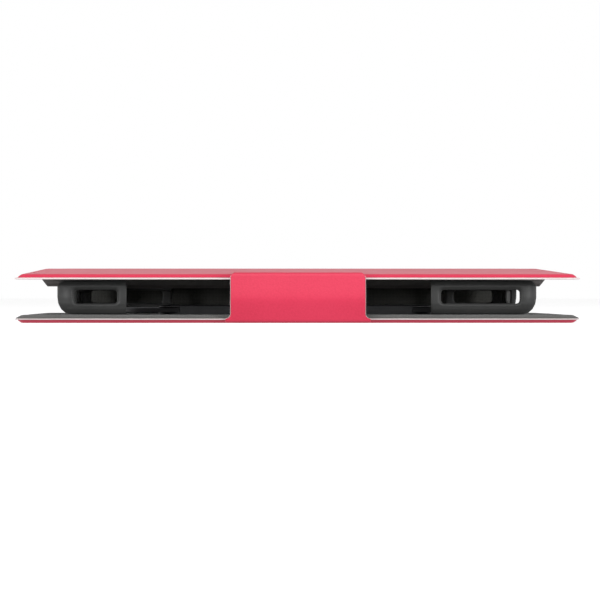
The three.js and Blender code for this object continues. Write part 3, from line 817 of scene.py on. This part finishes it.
def rivet(corner):
    node = f"rivet_{corner}"
    low, high = extent(node)
    top, under = high[2], high[2] - 0.55
    dome = [(2.6 * math.cos(math.radians(a)), under + 0.12 + 0.43 * math.sin(math.radians(a)))
            for a in range(0, 90, 10)]
    profile = ([(0.05, low[2]), (1.3, low[2]), (1.5, low[2] + 0.2), (1.5, under), (2.5, under)]
               + dome + [(0.05, top)])
    piece = turned_part(f"rivet_{corner}_domed", node, profile, STEEL)
    settle(piece, f"holder_{corner}", "steel", node)


def hardware():
    for side in ("left", "right", "near", "far"):
        screw(f"hub_screw_{side}")
    for corner in CORNERS:
        rivet(corner)
        plain_copy(f"arm_{corner}", f"slide_arm_{corner}", PLASTIC, "grey_plastic",
                   f"holder_{corner}")
    for end in ("near", "middle", "far"):
        plain_copy(f"stand_ridge_{end}", f"ridge_{end}", LIT_RIDGE_RUBBER, "grey_rubber",
                   "front_cover")
    plain_copy("hub_housing", "hub_tray", PLASTIC, "grey_plastic", "back_cover")
    plain_copy("hub_lid", "hub_cover", PLASTIC, "grey_plastic", "back_cover")


def carried_over():
    """CAD nodes whose shape is right keep it and get a finished material."""
    finishes = {"steel": STEEL, "greyboard": BOARD, "magnet": MAGNET, "grey_weave": WEAVE,
                "grey_plastic": PLASTIC, "grey_rubber": RUBBER, "cut_edge": EDGE,
                "pink_leatherette": PINK}
    for part in frame["record"]["subparts"]:
        node = frame["nodes"][part["node"]]
        node.data.materials.clear()
        node.data.materials.append(finishes[part["material_slot"]])


# ---- stage ----------------------------------------------------------------------------
def camera():
    data = bpy.data.cameras.new("camera")
    data.sensor_width = 36
    data.lens = CAMERA_LENS
    data.clip_start, data.clip_end = 0.05, 50
    eye = bpy.data.objects.new("camera", data)
    eye.location = Vector(CAMERA_PLACE) * MM
    eye.rotation_euler = (math.radians(90 + CAMERA_PITCH), 0, math.radians(-CAMERA_YAW))
    bpy.context.scene.collection.objects.link(eye)
    bpy.context.scene.camera = eye


def floor():
    half = FLOOR_HALF
    corners = [(-half, -half, 0), (half, -half, 0), (half, half, 0), (-half, half, 0)]
    stage = mesh_object("floor", corners, [(0, 1, 2, 3)], [])
    n = Nodes("pale_floor")
    tone = n.colours(n.noise(400, 2), (0.3, (0.84, 0.84, 0.84)), (0.7, (0.86, 0.86, 0.86)))
    stage.data.materials.append(
        n.finish(tone, 0.9, Emission_Color=(1, 1, 1, 1), Emission_Strength=FLOOR_GLOW))
    stage.visible_diffuse = False
    stage.visible_glossy = False


def area_light(name, spot, aim, size, power, colour=(1, 1, 1)):
    data = bpy.data.lights.new(name, "AREA")
    data.shape, data.size, data.size_y = "RECTANGLE", *size
    data.energy, data.color = power, colour
    light = bpy.data.objects.new(name, data)
    light.location = spot
    light.rotation_euler = (Vector(aim) - Vector(spot)).to_track_quat("-Z", "Y").to_euler()
    bpy.context.scene.collection.objects.link(light)


def studio():
    """A studio that is white at the horizon, dimmer overhead and dark below."""
    world = bpy.data.worlds.new("studio")
    world.use_nodes = True
    bpy.context.scene.world = world
    tree = world.node_tree
    direction = tree.nodes.new("ShaderNodeTexCoord")
    split = tree.nodes.new("ShaderNodeSeparateXYZ")
    ramp = tree.nodes.new("ShaderNodeValToRGB")
    shift = tree.nodes.new("ShaderNodeMath")
    shift.operation = "MULTIPLY_ADD"
    shift.inputs[1].default_value = shift.inputs[2].default_value = 0.5
    tree.links.new(direction.outputs["Generated"], split.inputs[0])
    tree.links.new(split.outputs["Z"], shift.inputs[0])
    tree.links.new(shift.outputs[0], ramp.inputs["Fac"])
    tree.links.new(ramp.outputs["Color"], tree.nodes["Background"].inputs["Color"])
    stops = ramp.color_ramp.elements
    while len(stops) < len(WORLD_STOPS):
        stops.new(0.5)
    for stop, (position, level) in zip(stops, WORLD_STOPS):
        stop.position = position
        stop.color = (level, level, level, 1)
    for name, (spot, size, power) in LIGHTS.items():
        area_light(name, spot, (0, 0, 0.01), size, power)
    bpy.context.scene.view_settings.view_transform = "Standard"


camera()
floor()
studio()
carried_over()
back_cover()
front_cover()
spine()
strap()
grips()
hardware()

bpy.context.view_layer.update()
